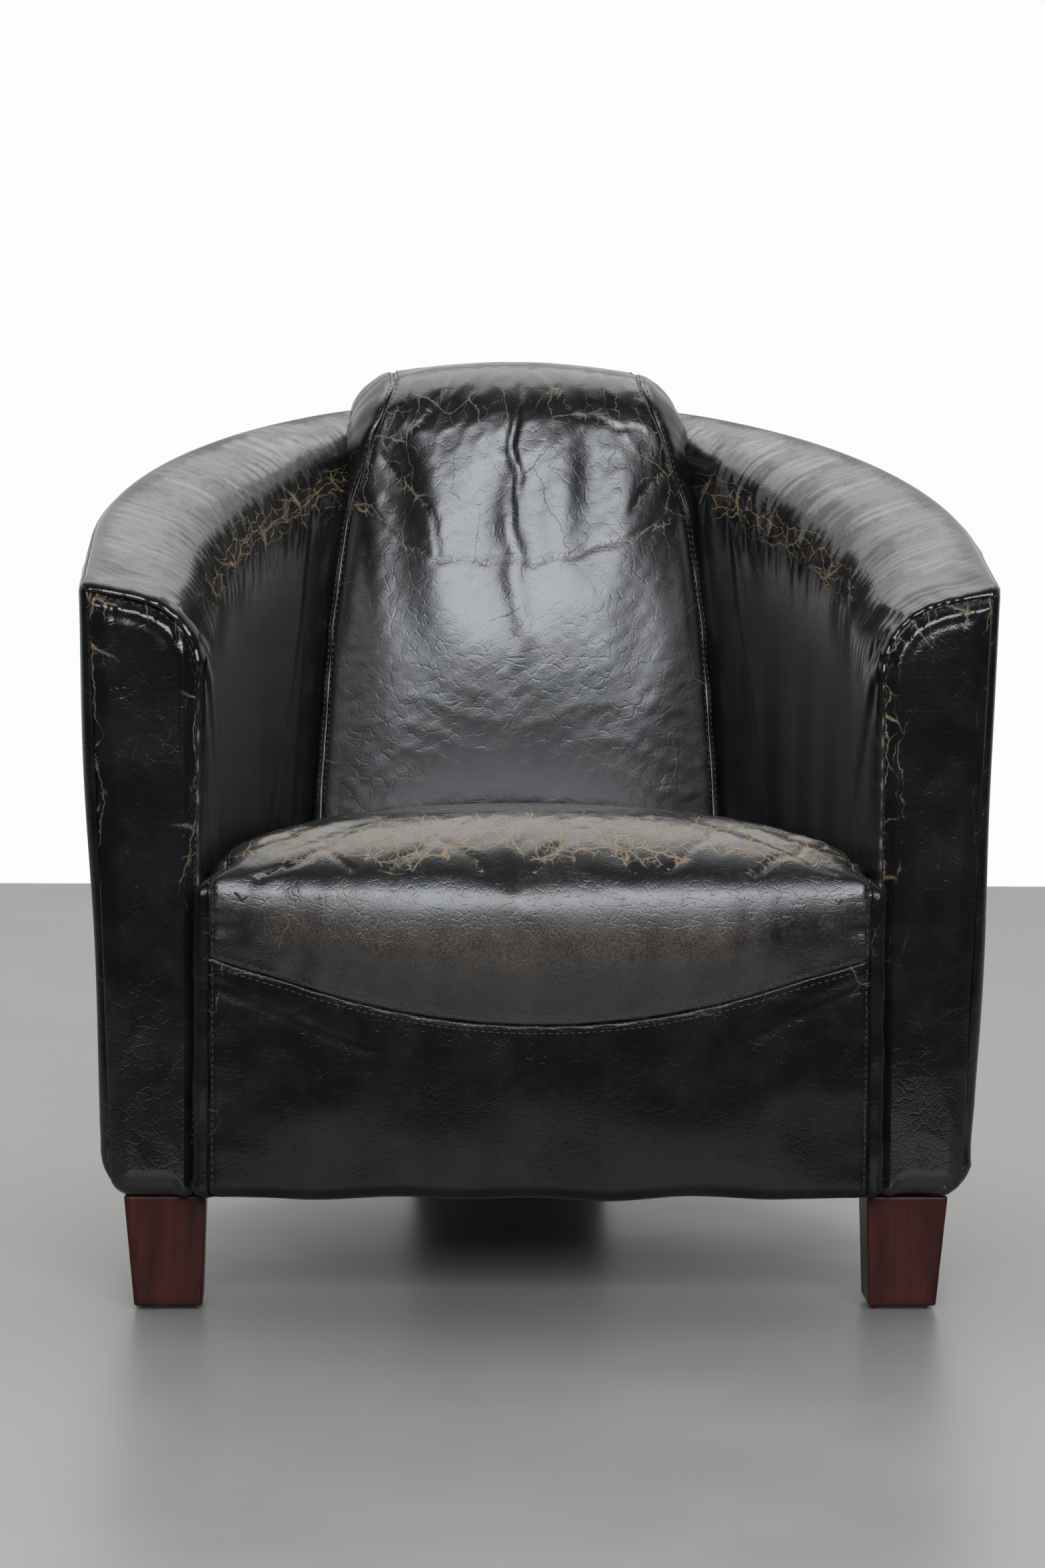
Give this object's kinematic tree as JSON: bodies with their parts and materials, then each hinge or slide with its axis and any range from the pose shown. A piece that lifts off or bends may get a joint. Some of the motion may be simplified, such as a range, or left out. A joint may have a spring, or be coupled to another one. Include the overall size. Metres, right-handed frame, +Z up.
{
  "type": "tub club chair",
  "caption": "Low leather tub chair with arms that rise to the back, a tapered back pad, a sprung seat with a stitched front apron, tapered wooden front legs and a broad rear foot; heavily worn.",
  "frame": {"origin": "on the floor under the middle of the chair's box", "axes": "+Z up, +Y to the back of the chair, +X to the right as seen from the front"},
  "size_m": [0.7172, 0.72, 0.745],
  "materials": {
    "arm_leather": "worn black leather, creased, with tan cracks along the arm tops",
    "back_leather": "worn black leather, puckered, with fine tan cracks across the roll",
    "seat_leather": "worn black leather, rubbed brown over the front roll and cracked",
    "stained_wood": "red-brown stained wood with chipped edges",
    "frame_timber": "bare plywood and hardwood",
    "foam": "bare upholstery foam",
    "black_cloth": "black spun cloth",
    "spring_steel": "dull steel",
    "nylon": "dark nylon"
  },
  "bodies": {
    "root": {"left_arm_inside_panel": "arm_leather", "right_arm_inside_panel": "arm_leather", "left_arm_outside_panel": "arm_leather", "right_arm_outside_panel": "arm_leather", "left_arm_facing": "arm_leather", "right_arm_facing": "arm_leather", "left_arm_foam": "foam", "right_arm_foam": "foam", "left_facing_pad": "foam", "right_facing_pad": "foam", "left_back_gusset": "back_leather", "right_back_gusset": "back_leather", "left_seat_gusset": "seat_leather", "right_seat_gusset": "seat_leather", "left_base_hoop": "frame_timber", "right_base_hoop": "frame_timber", "left_top_hoop": "frame_timber", "right_top_hoop": "frame_timber", "left_front_post": "frame_timber", "right_front_post": "frame_timber", "left_side_rib": "frame_timber", "right_side_rib": "frame_timber", "left_back_former": "frame_timber", "right_back_former": "frame_timber", "left_corner_block": "frame_timber", "right_corner_block": "frame_timber", "left_front_leg": "stained_wood", "right_front_leg": "stained_wood", "left_leg_stud": "spring_steel", "right_leg_stud": "spring_steel", "left_leg_glide": "nylon", "right_leg_glide": "nylon", "left_foot_bolt": "spring_steel", "right_foot_bolt": "spring_steel", "back_cover": "back_leather", "back_foam": "foam", "back_top_rail": "frame_timber", "seat_cover": "seat_leather", "front_apron": "seat_leather", "seat_foam": "foam", "apron_pad": "foam", "front_rail": "frame_timber", "rear_spring_rail": "frame_timber", "rear_base_block": "frame_timber", "seat_deck": "black_cloth", "dust_cover": "black_cloth", "rear_foot": "stained_wood", "rear_glide": "nylon", "seat_spring_1": "spring_steel", "seat_spring_2": "spring_steel", "seat_spring_3": "spring_steel", "seat_spring_4": "spring_steel", "front_spring_clip_1": "spring_steel", "front_spring_clip_2": "spring_steel", "front_spring_clip_3": "spring_steel", "front_spring_clip_4": "spring_steel", "rear_spring_clip_1": "spring_steel", "rear_spring_clip_2": "spring_steel", "rear_spring_clip_3": "spring_steel", "rear_spring_clip_4": "spring_steel"}
  },
  "joints": []
}
